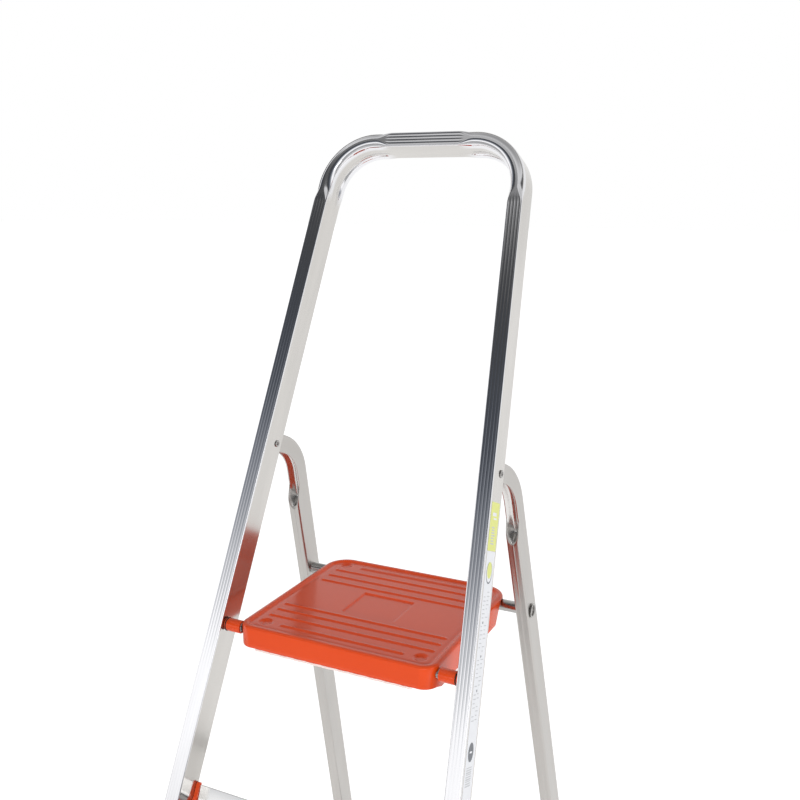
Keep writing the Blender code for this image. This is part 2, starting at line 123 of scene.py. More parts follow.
def from_leg(x, y, z):
    """A point of the rear frame, measured from the hinge along the leg."""
    c, s = math.cos(LEAN_REAR), math.sin(LEAN_REAR)
    x, y, z = np.broadcast_arrays(x, y, z)
    return np.stack([x * MM, HINGE.y + (y * c - z * s) * MM, HINGE.z + (y * s + z * c) * MM], -1)


def from_rod(x, y, z):
    """A point measured level from the front rod."""
    x, y, z = np.broadcast_arrays(x, y, z)
    return np.stack([x * MM, ROD.y + y * MM, ROD.z + z * MM], -1)


def half_spread(up):
    return HALF_SPREAD - up * math.tan(TAPER_FRONT)


HINGE_X = half_spread(HINGE_UP) - STILE_WIDTH / 2


def leg_middle(up):
    return HINGE_X - up * math.tan(TAPER_REAR)


def smooth(value):
    value = np.clip(value, 0, 1)
    return value * value * (3 - 2 * value)


# ---------------------------------------------------------------- meshes
def finish_mesh(name, mesh, material, body, nodes=(), sharp=35):
    made = bpy.data.objects.new(name, mesh)
    bpy.context.scene.collection.objects.link(made)
    mesh.materials.append(material)
    mesh.shade_smooth()
    mesh.set_sharp_from_angle(angle=math.radians(sharp))
    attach(made, body)
    if nodes:
        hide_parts(*nodes)
    return made


def grid_mesh(name, points, ends=True, polish=None):
    """A mesh of a grid of points, (along, round, 3), with UVs in metres. The last point
    round joins the first, and ends closes both ends with a face."""
    along, count = points.shape[:2]
    i, j = np.meshgrid(np.arange(along - 1), np.arange(count), indexing="ij")
    k = (j + 1) % count
    quads = np.stack([i * count + j, i * count + k, (i + 1) * count + k, (i + 1) * count + j], -1)
    faces = quads.reshape(-1, 4).tolist()
    if ends:
        faces.append(list(range(count))[::-1])
        faces.append([(along - 1) * count + n for n in range(count)])
    mesh = bpy.data.meshes.new(name)
    mesh.from_pydata(points.reshape(-1, 3).tolist(), [], faces)
    steps = np.linalg.norm(np.diff(np.concatenate([points, points[:, :1]], 1), axis=1), axis=2)
    u = np.concatenate([[0], np.cumsum(steps.mean(0))])
    v = np.concatenate([[0], np.cumsum(np.linalg.norm(np.diff(points.mean(1), axis=0), axis=1))])
    uv = np.zeros((len(mesh.loops), 2), np.float32)
    corners = np.stack([np.stack([u[j], v[i]], -1), np.stack([u[j + 1], v[i]], -1)], 2)
    far = np.stack([np.stack([u[j + 1], v[i + 1]], -1), np.stack([u[j], v[i + 1]], -1)], 2)
    uv[: i.size * 4] = np.concatenate([corners, far], 2).reshape(-1, 2)
    mesh.uv_layers.new(name="UVMap").data.foreach_set("uv", uv.ravel())
    if polish is not None:
        layer = mesh.attributes.new("polish", "FLOAT", "POINT")
        layer.data.foreach_set("value", np.broadcast_to(polish, (along, count)).astype(np.float32).ravel())
    shape = bmesh.new()
    shape.from_mesh(mesh)
    bmesh.ops.recalc_face_normals(shape, faces=shape.faces)
    shape.to_mesh(mesh)
    shape.free()
    return mesh


def turned_mesh(name, profile, y, z, place, sides=48):
    """A solid turned about a line along X, from a closed profile of (x, radius)."""
    angle = np.linspace(0, 2 * math.pi, sides, endpoint=False)
    profile = np.array(profile, float)
    x = np.repeat(profile[:, :1], sides, 1)
    r = profile[:, 1:]
    points = place(x, y + r * np.cos(angle), z + r * np.sin(angle))
    points = np.concatenate([points, points[:1]], 0)
    mesh = grid_mesh(name, points, ends=False)
    shape = bmesh.new()
    shape.from_mesh(mesh)
    bmesh.ops.remove_doubles(shape, verts=shape.verts, dist=0.000001)
    bmesh.ops.recalc_face_normals(shape, faces=shape.faces)
    shape.to_mesh(mesh)
    shape.free()
    return mesh


def rounded(corners, steps=5):
    """The points of an outline whose corners are (a, b, radius)."""
    points = []
    for i, (a, b, radius) in enumerate(corners):
        here = Vector((a, b))
        if radius == 0:
            points.append(here)
            continue
        back = (Vector(corners[i - 1][:2]) - here).normalized()
        on = (Vector(corners[(i + 1) % len(corners)][:2]) - here).normalized()
        half = back.angle(on) / 2
        centre = here + (back + on).normalized() * (radius / math.sin(half))
        first = here + back * (radius / math.tan(half)) - centre
        last = here + on * (radius / math.tan(half)) - centre
        start = math.atan2(first.y, first.x)
        sweep = math.atan2(first.cross(last), first.dot(last))
        for step in range(steps + 1):
            angle = start + sweep * step / steps
            points.append(centre + Vector((math.cos(angle), math.sin(angle))) * radius)
    return np.array([tuple(p) for p in points])


# ---------------------------------------------------------------- materials
class Nodes:
    """Short names for building a material's nodes."""

    def __init__(self, name):
        self.material = bpy.data.materials.new(name)
        self.material.use_nodes = True
        self.tree = self.material.node_tree
        self.shader = self.tree.nodes["Principled BSDF"]

    def node(self, kind, **values):
        made = self.tree.nodes.new(kind)
        for key, value in values.items():
            if hasattr(made, key):
                setattr(made, key, value)
            else:
                made.inputs[key.replace("_", " ")].default_value = value
        return made

    def link(self, start, end):
        self.tree.links.new(start, end)

    def maths(self, operation, first, second=None, third=None, clamp=False):
        made = self.node("ShaderNodeMath", operation=operation, use_clamp=clamp)
        for socket, value in zip(made.inputs, (first, second, third)):
            if value is None:
                continue
            if isinstance(value, (int, float)):
                socket.default_value = value
            else:
                self.link(value, socket)
        return made.outputs[0]

    def noise(self, source, scale, stretch=(1, 1, 1), detail=3.0, rough=0.5):
        mapping = self.node("ShaderNodeMapping")
        mapping.inputs["Scale"].default_value = stretch
        self.link(source, mapping.inputs["Vector"])
        made = self.node("ShaderNodeTexNoise", Scale=scale, Detail=detail, Roughness=rough)
        self.link(mapping.outputs[0], made.inputs["Vector"])
        return made.outputs["Fac"]

    def mix(self, factor, first, second):
        made = self.node("ShaderNodeMix", data_type="RGBA")
        for socket, value in ((made.inputs[0], factor), (made.inputs[6], first), (made.inputs[7], second)):
            if isinstance(value, (int, float)):
                socket.default_value = value
            elif isinstance(value, tuple):
                socket.default_value = (*value, 1)
            else:
                self.link(value, socket)
        return made.outputs[2]

    def bump(self, height, strength, distance):
        made = self.node("ShaderNodeBump", Strength=strength, Distance=distance)
        self.link(height, made.inputs["Height"])
        self.link(made.outputs[0], self.shader.inputs["Normal"])

    def uv(self):
        return self.node("ShaderNodeTexCoord").outputs["UV"]

    def object(self):
        return self.node("ShaderNodeTexCoord").outputs["Object"]


def aluminium(name, satin, bright, satin_rough, bright_rough):
    """Drawn aluminium: fine streaks along the extrusion, a few scuffs, and a polish
    attribute that turns satin faces into bright ones."""
    n = Nodes(name)
    source = n.uv()
    streaks = n.noise(source, 1400, (1, 0.02, 1), 4, 0.6)
    broad = n.noise(source, 60, (1, 0.12, 1), 2, 0.5)
    scuffs = n.noise(source, 220, (1, 0.35, 1), 5, 0.7)
    polish = n.node("ShaderNodeAttribute", attribute_name="polish").outputs["Fac"]
    tone = n.maths("MULTIPLY_ADD", streaks, 0.10, 0.95)
    tone = n.maths("MULTIPLY_ADD", broad, 0.16, n.maths("ADD", tone, -0.08))
    colour = n.mix(polish, satin, bright)
    shade = n.node("ShaderNodeVectorMath", operation="SCALE")
    n.link(colour, shade.inputs[0])
    n.link(tone, shade.inputs["Scale"])
    n.link(shade.outputs[0], n.shader.inputs["Base Color"])
    rough = n.maths("MULTIPLY_ADD", polish, bright_rough - satin_rough, satin_rough)
    rough = n.maths("MULTIPLY_ADD", streaks, 0.10, n.maths("ADD", rough, -0.05))
    worn = n.maths("GREATER_THAN", scuffs, 0.71)
    rough = n.maths("MULTIPLY_ADD", worn, 0.08, rough, clamp=True)
    n.link(rough, n.shader.inputs["Roughness"])
    n.shader.inputs["Metallic"].default_value = 1.0
    n.bump(streaks, 0.06, 0.00004)
    return n.material


def steel(name, colour, roughness):
    n = Nodes(name)
    source = n.object()
    spangle = n.noise(source, 900, (1, 1, 1), 3, 0.6)
    rings = n.noise(source, 2400, (1, 0.05, 0.05), 2, 0.5)
    tone = n.mix(spangle, tuple(c * 0.8 for c in colour), tuple(min(c * 1.1, 1) for c in colour))
    n.link(tone, n.shader.inputs["Base Color"])
    n.link(n.maths("MULTIPLY_ADD", rings, 0.16, roughness - 0.08), n.shader.inputs["Roughness"])
    n.shader.inputs["Metallic"].default_value = 1.0
    n.bump(rings, 0.15, 0.00005)
    return n.material


def paint(name, colour, deep, roughness, peel):
    """Gloss paint or moulded plastic: an even colour with slight mottling and a fine
    orange-peel surface, worn duller where shoes and hands rub it."""
    n = Nodes(name)
    source = n.object()
    broad = n.noise(source, 14, (1, 1, 1), 4, 0.55)
    fine = n.noise(source, 700, (1, 1, 1), 2, 0.5)
    scuffs = n.noise(source, 90, (1, 3.5, 1), 6, 0.7)
    n.link(n.mix(broad, deep, colour), n.shader.inputs["Base Color"])
    worn = n.maths("MULTIPLY_ADD", scuffs, 0.20, roughness - 0.10)
    n.link(worn, n.shader.inputs["Roughness"])
    n.shader.inputs["Specular IOR Level"].default_value = 0.45
    n.bump(fine, peel, 0.0001)
    return n.material


STILE = aluminium("stile_aluminium", (0.605, 0.587, 0.563), (0.80, 0.80, 0.82), 0.17, 0.10)
LEG = aluminium("leg_aluminium", (0.50, 0.483, 0.462), (0.66, 0.645, 0.63), 0.32, 0.24)
TREAD = aluminium("tread_aluminium", (0.70, 0.69, 0.68), (0.78, 0.78, 0.78), 0.30, 0.18)
STEEL = steel("bright_steel", (0.42, 0.41, 0.40), 0.24)
PAINT = paint("orange_paint", (0.76, 0.070, 0.006), (0.70, 0.058, 0.005), 0.20, 0.05)
PLASTIC = paint("orange_plastic", (0.76, 0.070, 0.006), (0.70, 0.060, 0.005), 0.28, 0.10)
RUBBER = paint("black_plastic", (0.018, 0.018, 0.020), (0.030, 0.030, 0.030), 0.48, 0.30)


# ---------------------------------------------------------------- front hoop
def hoop_stations():
    """Stations from the left foot over the top to the right foot: the outer edge's place,
    its outward direction, and how far into a bend it is."""
    half_top = half_spread(HOOP_TOP)
    turn = math.pi / 2 - TAPER_FRONT
    reach = HOOP_CORNER * math.tan(turn / 2)
    side = np.array([math.cos(TAPER_FRONT), math.sin(TAPER_FRONT)])
    down = np.array([math.sin(TAPER_FRONT), -math.cos(TAPER_FRONT)])
    corner = np.array([half_top, HOOP_TOP])
    arc_end = corner + down * reach
    length = (arc_end[1] - HOOP_FOOT) / math.cos(TAPER_FRONT)
    rows = []
    steps = np.concatenate([np.linspace(length, 90, 40), np.linspace(87, 0, 30)[:-1]])
    for distance in steps:
        rows.append((arc_end + down * distance, side, distance))
    centre = arc_end - side * HOOP_CORNER
    for share in np.linspace(0, 1, 46):
        angle = TAPER_FRONT + turn * share
        ray = np.array([math.cos(angle), math.sin(angle)])
        rows.append((centre + ray * HOOP_CORNER, ray, -1.0))
    top_start = half_top - reach
    for x in np.concatenate([np.linspace(top_start, top_start - 30, 14)[1:], [0]]):
        rows.append((np.array([x, HOOP_TOP]), np.array([0.0, 1.0]), top_start - x))
    places = np.array([row[0] for row in rows])
    rays = np.array([row[1] for row in rows])
    outside = np.array([row[2] for row in rows])
    mirror = np.array([-1.0, 1.0])
    places = np.concatenate([places, places[-2::-1] * mirror])
    rays = np.concatenate([rays, rays[-2::-1] * mirror])
    outside = np.concatenate([outside, outside[-2::-1]])
    return places, rays, outside


def build_hoop():
    places, rays, outside = hoop_stations()
    bend = smooth(1 - (outside - 2) / 22)[:, None]
    ribs = 1 - smooth(1 - (outside - 16) / 5)[:, None]
    outer_radius = 1.8 + 6.2 * bend
    inner_radius = 1.8 + 6.8 * bend
    flat = np.linspace(0, 1, 90)
    arc = np.linspace(0, math.pi / 2, 9)
    wide = STILE_WIDTH
    deep = STILE_DEPTH
    one = np.ones_like(bend)
    u, v, shine = [], [], []

    def add(across, back, polish):
        across, back = np.broadcast_arrays(across * one, back * one)
        u.append(across)
        v.append(back)
        shine.append(np.broadcast_to(polish * one, across.shape))

    # outer flange, web with its ribs, inner flange with the fold of the bend
    add(0 * flat[:14], deep - (deep - outer_radius) * np.linspace(0, 1, 14), 0.0)
    add(-outer_radius * (1 - np.cos(arc)), outer_radius * (1 - np.sin(arc)), 1.0)
    span = wide - outer_radius - inner_radius
    across = outer_radius + span * flat
    ridges = sum(np.exp(-(((across - place) / 0.75) ** 2)) for place in (5.6, 9.7, 13.8))
    sides = smooth((3.2 - across) / 1.4) + smooth((across - wide + 3.2) / 1.4)
    groove = 0.14 * (1 - np.clip(ridges + sides, 0, 1))
    add(-across, groove * ribs, 1.0)
    add(-(wide - inner_radius + inner_radius * np.sin(arc)), inner_radius * (1 - np.cos(arc)), 1.0)
    back = inner_radius + (deep - inner_radius) * np.linspace(0, 1, 24)
    fold = bend * (2.6 * smooth((back - 26.5) / 3.5) - 0.9 * smooth((back - 18) / 7))
    shine_in = bend * (smooth((14 - back) / 6) + smooth((back - 26) / 2))
    add(-wide - fold, back, np.clip(shine_in, 0, 1))
    # the inside of the channel
    inside = wide - STILE_WALL
    edge = bend * (1.7 * smooth((back[:, ::-1] - 26.5) / 3.5))
    add(-inside - edge, np.maximum(back[:, ::-1], STILE_WALL + 1.2 + 3.0 * bend), 0.2)
    add(-inside + (inside - STILE_WALL) * np.linspace(0.25, 1, 6), STILE_WALL + 1.2, 0.2)
    add(-STILE_WALL, deep * np.linspace(0.15, 1, 6), 0.2)
    u = np.concatenate(u, 1)
    v = np.concatenate(v, 1)
    x = places[:, :1] + rays[:, :1] * u
    z = places[:, 1:] + rays[:, 1:] * u
    points = from_front(x, STILE_FRONT + v, z)
    mesh = grid_mesh("hoop", points, polish=np.concatenate(shine, 1))
    finish_mesh("hoop", mesh, STILE, "front_frame", ["front_hoop"], 50)


# ---------------------------------------------------------------- rear legs
def leg_path():
    """The leg's centre line from the foot up, and the direction of its rear side."""
    rows = []
    for up in np.concatenate([np.linspace(LEG_FOOT, -190, 24), np.arange(-180, NECK_START, 2.0)]):
        rows.append((LEG_BACK, up, 1.0, 0.0, up))
    centre_back = LEG_BACK - NECK_CORNER
    for share in np.linspace(0, 1, 40):
        angle = NECK_BEND * share
        c, s = math.cos(angle), math.sin(angle)
        travel = NECK_START + NECK_CORNER * angle
        rows.append((centre_back + NECK_CORNER * c, NECK_START + NECK_CORNER * s, c, s, travel))
    c, s = math.cos(NECK_BEND), math.sin(NECK_BEND)
    base_back = centre_back + NECK_CORNER * c
    base_up = NECK_START + NECK_CORNER * s
    travel = NECK_START + NECK_CORNER * NECK_BEND
    for on in np.arange(2, 29.3 + NECK_STRAIGHT, 2.0):
        rows.append((base_back - s * on, base_up + c * on, c, s, travel + on))
    return np.array(rows)


def build_leg(side, name):
    path = leg_path()
    travel = path[:, 4:5]
    narrow = smooth((travel - NECK_START) / 60)
    half_width = (LEG_WIDTH * (1 - narrow) + NECK_WIDTH * narrow) / 2
    half_depth = LEG_DEPTH / 2
    radius = 2.6
    outline = []
    arc = np.linspace(0, math.pi / 2, 7)
    for sx, sd, flip in ((1, -1, 0), (1, 1, 1), (-1, 1, 0), (-1, -1, 1)):
        turn = arc[::-1] if flip else arc
        for angle in turn:
            inward = sx * (math.sin(angle) - 1) * radius
            outline.append((sx, inward, sd, sd * (math.cos(angle) - 1) * radius))
        if (sx, sd) == (1, -1):
            for share in np.linspace(0, 1, 22)[1:-1]:
                outline.append((1, 0, -1 + 2 * share, radius * (1 - 2 * share)))
        elif (sx, sd) == (1, 1):
            for share in np.linspace(0, 1, 10)[1:-1]:
                outline.append((1 - 2 * share, -radius * (1 - 2 * share), 1, 0))
        elif (sx, sd) == (-1, 1):
            for share in np.linspace(0, 1, 22)[1:-1]:
                outline.append((-1, 0, 1 - 2 * share, -radius * (1 - 2 * share)))
        else:
            for share in np.linspace(0, 1, 34)[1:-1]:
                outline.append((-1 + 2 * share, radius * (1 - 2 * share), -1, 0))
    outline = np.array(outline)
    across = outline[:, 0] * half_width + outline[:, 1]
    depth = outline[:, 2] * half_depth + outline[:, 3] + 0 * across
    # the concave side is pressed in, deepest along the middle, with a rounded lower end
    share = np.clip(np.abs(across) / half_width, 0, 1)
    low = -123 + 12 * share**2
    pressed = smooth((travel - low) / (15 + 10 * share))
    edge = 8.5 * pressed
    middle = 6.0 * pressed * np.cos(share * math.pi / 2) ** 2
    front = np.clip(-depth / half_depth, 0, 1)
    on_front = smooth((front - 0.78) / 0.2)
    ridge = 0.3 * np.exp(-((across / 0.9) ** 2)) * on_front * (1 - pressed)
    depth = depth + edge * front**1.3 + middle * on_front - ridge
    polish = on_front * pressed * smooth((0.99 - share) / 0.1)
    y = path[:, 0:1] + path[:, 2:3] * depth
    z = path[:, 1:2] + path[:, 3:4] * depth
    x = side * (leg_middle(z) + across)
    points = from_leg(x, y, z)
    mesh = grid_mesh(name, points, polish=polish)
    finish_mesh(name, mesh, LEG, "rear_frame", [f"rear_leg_{name[4:]}"], 50)


# ---------------------------------------------------------------- platform
def tray_rows():
    """Rows across the tray's top, whose ends lie on the outline inset by its edge."""
    front = TRAY_FRONT + TRAY_EDGE
    rear = TRAY_REAR - TRAY_EDGE
    near, far = TRAY_CORNER_FRONT - TRAY_EDGE, TRAY_CORNER_REAR - TRAY_EDGE
    bend = np.linspace(0, math.pi / 2, 22)
    y = np.concatenate([
        front + near * (1 - np.cos(bend)),
        np.linspace(front + near, rear - far, 170)[1:-1],
        rear - far * (1 - np.cos(bend[::-1])),
    ])
    half = np.full_like(y, TRAY_HALF - TRAY_EDGE)
    half[:22] += near * (np.sin(bend) - 1)
    half[-22:] += far * (np.sin(bend[::-1]) - 1)
    return y, half


def inset_of(x, y, radius, box):
    """How far inside a rounded rectangle a point lies."""
    (x0, y0), (x1, y1) = box
    qx = np.abs(x - (x0 + x1) / 2) - (x1 - x0) / 2 + radius
    qy = np.abs(y - (y0 + y1) / 2) - (y1 - y0) / 2 + radius
    outside = np.hypot(np.maximum(qx, 0), np.maximum(qy, 0))
    return radius - outside - np.minimum(np.maximum(qx, qy), 0)


def tray_height(x, y):
    """The pressed top: a rim, eight ribs, a recess and four corner dimples."""
    radius = np.where(y < (TRAY_FRONT + TRAY_REAR) / 2, TRAY_CORNER_FRONT, TRAY_CORNER_REAR)
    box = ((-TRAY_HALF, TRAY_FRONT), (TRAY_HALF, TRAY_REAR))
    inset = inset_of(x, y, radius, box)
    z = -2.1 * smooth((inset - 6.3) / 4.0)
    z = z - 0.35 * np.exp(-(((inset - 12) / 2.2) ** 2))
    ribs = ((9, 83), (30, 113), (48.5, 113), (66, 113), (156, 110), (175, 110), (195, 110), (214, 80))
    for rib_y, reach in ribs:
        away = np.hypot(np.maximum(np.abs(x) - reach, 0), y - rib_y)
        z = z + 1.6 * np.cos(np.clip(away / 3.9, 0, 1) * math.pi / 2) ** 2
    recess = inset_of(x, y, 3.0, ((-37, 78), (37, 143)))
    z = z - 2.0 * smooth((recess + 0.4) / 2.0)
    for dimple_y in (10, 216):
        away = np.hypot(np.abs(x) - 107, y - dimple_y)
        z = z - 2.6 * smooth((9.8 - away) / 5.5)
    return z + TRAY_TOP


def flange_low(y):
    """The side outline's lower edge at a distance from the front rod."""
    low = FLANGE_FRONT_LOW + (FLANGE_SIDE_LOW - FLANGE_FRONT_LOW) * smooth((y + 2) / 14)
    hook = np.interp(y, [REAR_HOOK, 212, 219, 226, 240], [FLANGE_SIDE_LOW, -10, 2, 4, 4])
    return np.maximum(low, np.where(y > REAR_HOOK, hook, low))


def build_tray():
    y_rows, half = tray_rows()
    share = np.linspace(-1, 1, 230)
    x = half[:, None] * share
    y = np.repeat(y_rows[:, None], len(share), 1)
    top = np.stack([x, y, tray_height(x, y)], -1)
    rows, columns = x.shape
    shape = bmesh.new()

    def sheet(points, turned):
        verts = [[shape.verts.new(p) for p in row] for row in points.tolist()]
        for i in range(rows - 1):
            for j in range(columns - 1):
                quad = [verts[i][j], verts[i][j + 1], verts[i + 1][j + 1], verts[i + 1][j]]
                shape.faces.new(quad[::-1] if turned else quad)
        loop = verts[0][:] + [row[-1] for row in verts[1:-1]] + verts[-1][::-1]
        return loop + [row[0] for row in verts[-2:0:-1]]

    upper = sheet(top, False)
    under = top.copy()
    under[..., 2] = np.minimum(under[..., 2], TRAY_TOP - 1.0) - TRAY_SHEET
    under_inset = 3.0
    scale = np.array([1 - under_inset / TRAY_HALF, 1 - under_inset / 126, 1])
    middle = np.array([0, (TRAY_FRONT + TRAY_REAR) / 2, 0])
    lower = sheet((under - middle) * scale + middle, True)
    edge = np.array([tuple(v.co) for v in upper])
    on = np.roll(edge, -1, 0) - np.roll(edge, 1, 0)
    out = np.stack([on[:, 1], -on[:, 0]], -1)
    out /= np.linalg.norm(out, axis=1)[:, None]
    low = flange_low(edge[:, 1])
    hem = smooth((8 - edge[:, 1]) / 6) * smooth((TRAY_HALF - 18 - np.abs(edge[:, 0])) / 4)
    rings = []
    for angle in np.linspace(0, math.pi / 2, 8)[1:]:
        level = TRAY_TOP - TRAY_EDGE * (1 - math.cos(angle))
        rings.append((TRAY_EDGE * math.sin(angle), level + 0 * low))
    for down in (0.3, 0.6, 0.85):
        top_z = TRAY_TOP - TRAY_EDGE
        rings.append((TRAY_EDGE, top_z + (low + 2.5 - top_z) * down))
    rings.append((TRAY_EDGE + 0 * low, low + 2.6))
    roll = 1.5
    for angle in np.linspace(0.35, math.pi, 9):
        inward = roll * (1 - math.cos(angle)) + 0.3 * hem
        rings.append((TRAY_EDGE - inward, low + roll - roll * math.sin(angle)))
    rings.append((TRAY_EDGE - TRAY_SHEET - 0.4 + 0 * low, low + 4))
    rings.append((TRAY_EDGE - TRAY_SHEET - 0.3 + 0 * low, TRAY_TOP - TRAY_EDGE + 0 * low))
    previous = upper
    for outward, level in rings:
        place = edge[:, :2] + out * np.broadcast_to(outward, low.shape)[:, None]
        ring = [shape.verts.new((p[0], p[1], z)) for p, z in zip(place, np.broadcast_to(level, low.shape))]
        for i, vert in enumerate(previous):
            on_i = (i + 1) % len(previous)
            shape.faces.new([previous[on_i], vert, ring[i], ring[on_i]])
        previous = ring
    for i, vert in enumerate(previous):
        on_i = (i + 1) % len(previous)
        shape.faces.new([previous[on_i], vert, lower[i], lower[on_i]])
    for vert in shape.verts:
        vert.co = Vector(from_rod(*vert.co).tolist())
    bmesh.ops.recalc_face_normals(shape, faces=shape.faces)
    mesh = bpy.data.meshes.new("tray")
    shape.to_mesh(mesh)
    shape.free()
    tray = finish_mesh("tray", mesh, PAINT, "platform", ["platform_tray"], 40)
    cut_tray(tray)


def extruded(name, outline, low, high, place):
    """A closed outline of (y, z) points stretched along X."""
    outline = np.array(outline, float)
    points = [place(np.full(len(outline), x), outline[:, 0], outline[:, 1]) for x in (low, high)]
    return grid_mesh(name, np.stack(points))


def cut_tray(tray):
    """The slots that hook over the rear rod, and the holes for the front rod."""
    slot = rounded([
        (REAR_SEAT + 13.4, 8.3, 8),
        (REAR_SEAT - 6, 8.3, 8),
        (REAR_SEAT - 30, -30, 0),
        (REAR_SEAT - 6, -30, 0),
    ])
    holes = []
    for side in (1, -1):
        low, high = sorted((side * 115, side * 150))
        holes.append(extruded("slot", slot, low, high, from_rod))
        turn = np.linspace(0, 2 * math.pi, 40, endpoint=False)
        bore = np.stack([4.7 * np.cos(turn), 4.7 * np.sin(turn)], -1)
        holes.append(extruded("bore", bore, low, high, from_rod))
    shape = bmesh.new()
    for mesh in holes:
        shape.from_mesh(mesh)
    cutter_mesh = bpy.data.meshes.new("tray_cutter")
    shape.to_mesh(cutter_mesh)
    shape.free()
    cutter = bpy.data.objects.new("tray_cutter", cutter_mesh)
    bpy.context.scene.collection.objects.link(cutter)
    cutter.hide_render = True
    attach(cutter, "platform")
    cut = tray.modifiers.new("cut", "BOOLEAN")
    cut.object = cutter
    cut.operation = "DIFFERENCE"
    cut.solver = "EXACT"


def build_hem():
    """A light strip, pinkish to white with a fine grain, along the underside of the front flange."""
    edge = Nodes("hem_light_strip")
    grain = edge.noise(edge.object(), 500, (1, 1, 1), 4, 0.7)
    edge.link(edge.mix(grain, (0.86, 0.55, 0.48), (0.95, 0.92, 0.91)), edge.shader.inputs["Base Color"])
    edge.link(edge.maths("MULTIPLY_ADD", grain, 0.2, 0.3), edge.shader.inputs["Roughness"])
    edge.bump(grain, 0.2, 0.0002)
    corners = [(-15.7, -19.0, 0.5), (-14.3, -19.0, 0.5), (-14.3, -16.2, 0.3), (-15.7, -16.2, 0.3)]
    section = rounded(corners, 3)
    x = np.linspace(-107, 107, 60)[:, None]
    wander = 0.15 * np.sin(x * 0.31) + 0.1 * np.sin(x * 0.83)
    points = from_rod(x, section[:, 0] + wander * 0.5, section[:, 1] + wander)
    mesh = grid_mesh("hem", points)
    finish_mesh("hem", mesh, edge.material, "platform", (), 30)


# ---------------------------------------------------------------- treads
def tread_outline():
    slope = Vector((math.sin(LEAN_FRONT), math.cos(LEAN_FRONT)))
    lip = slope * (LIP_RISE / slope.y)
    sheet = TREAD_SHEET
    inner = sheet - TREAD_DEPTH
    corners = [
        (lip.x, lip.y, 0.5),
        (0, 0, 0),
        (0, -22, 0.8),
        (-sheet, -22, 0.8),
        (-sheet, -sheet, 1),
        (inner, -sheet, 1),
        (inner, sheet - TREAD_FASCIA, 0.8),
        (10 - TREAD_DEPTH, sheet - TREAD_FASCIA, 0.5),
        (10 - TREAD_DEPTH, -TREAD_FASCIA, 0.5),
        (-TREAD_DEPTH, -TREAD_FASCIA, 1.5),
        (-TREAD_DEPTH, 0, 2.5),
    ]
    for rib in range(19):
        start = 4.6 + rib * 3.2 - TREAD_DEPTH
        corners += [(start, 0, 0.15), (start + 0.4, -0.8, 0.15)]
        corners += [(start + 1.4, -0.8, 0.15), (start + 1.8, 0, 0.15)]
    across = Vector((-slope.y, slope.x)) * sheet
    foot = across.x - across.y * slope.x / slope.y
    corners += [(foot, 0, 12), (lip.x + across.x, lip.y + across.y, 0.5)]
    return rounded(corners, 4)


def build_treads():
    outline = tread_outline()
    for level in range(1, 5):
        surface = TRAY_TOP - TREAD_PITCH * level
        rear = (STILE_FRONT + STILE_DEPTH) / math.cos(LEAN_FRONT) + surface * math.tan(LEAN_FRONT)
        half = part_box(f"tread_{level}")[1].x / MM
        x = np.linspace(-half, half, 12)[:, None]
        points = from_rod(x, outline[:, 0] + rear, outline[:, 1] + surface)
        shine = np.where(outline[:, 1] > -1.2, 1.0, 0.2)
        mesh = grid_mesh("step", points, polish=shine)
        node = f"tread_{level}"
        piece = finish_mesh(f"step_{level}", mesh, TREAD, "front_frame", [node], 30)
        soften(piece, 0.25)


def soften(obj, width):
    """Rounds a piece's sharp edges a little."""
    weld = obj.modifiers.new("weld", "WELD")
    weld.merge_threshold = 0.00001
    bevel = obj.modifiers.new("edges", "BEVEL")
    bevel.width = width * MM
    bevel.segments = 2
    bevel.limit_method = "ANGLE"
    bevel.angle_limit = math.radians(30)


def cad_looks():
    """CAD pieces whose shape is right as it is, with rounded edges and a real finish."""
    looks = {"tread_cap": (PLASTIC, 0.9), "tread_screw": (STEEL, 0.2), "rod_nut": (STEEL, 0.4)}
    looks.update({"front_foot": (PLASTIC, 2.2), "rear_foot": (PLASTIC, 2.2)})
    for node, obj in frame["nodes"].items():
        for start, (material, width) in looks.items():
            if not node.startswith(start):
                continue
            obj.data.materials.clear()
            obj.data.materials.append(material)
            soften(obj, width)


# ---------------------------------------------------------------- label
def film(name, n, outline, lift, thick):
    """A film of (back, up) points on the right stile's outer flange, lift off it."""
    outline = np.array(outline, float)
    sheets = [
        from_front(half_spread(outline[:, 1]) + away, outline[:, 0], outline[:, 1])
        for away in (lift, lift + thick)
    ]
    mesh = grid_mesh(name, np.stack(sheets))
    finish_mesh(name, mesh, n.material, "front_frame", (), 30)


def block(low, high, front=-7.5, back=20.5, radius=0.8):
    corners = ((front, low), (back, low), (back, high), (front, high))
    return rounded([(*corner, radius) for corner in corners], 3)


def disc(up, back, radius, squash=1.0):
    turn = np.linspace(0, 2 * math.pi, 40, endpoint=False)
    return np.stack([back + radius * squash * np.cos(turn), up + radius * np.sin(turn)], -1)


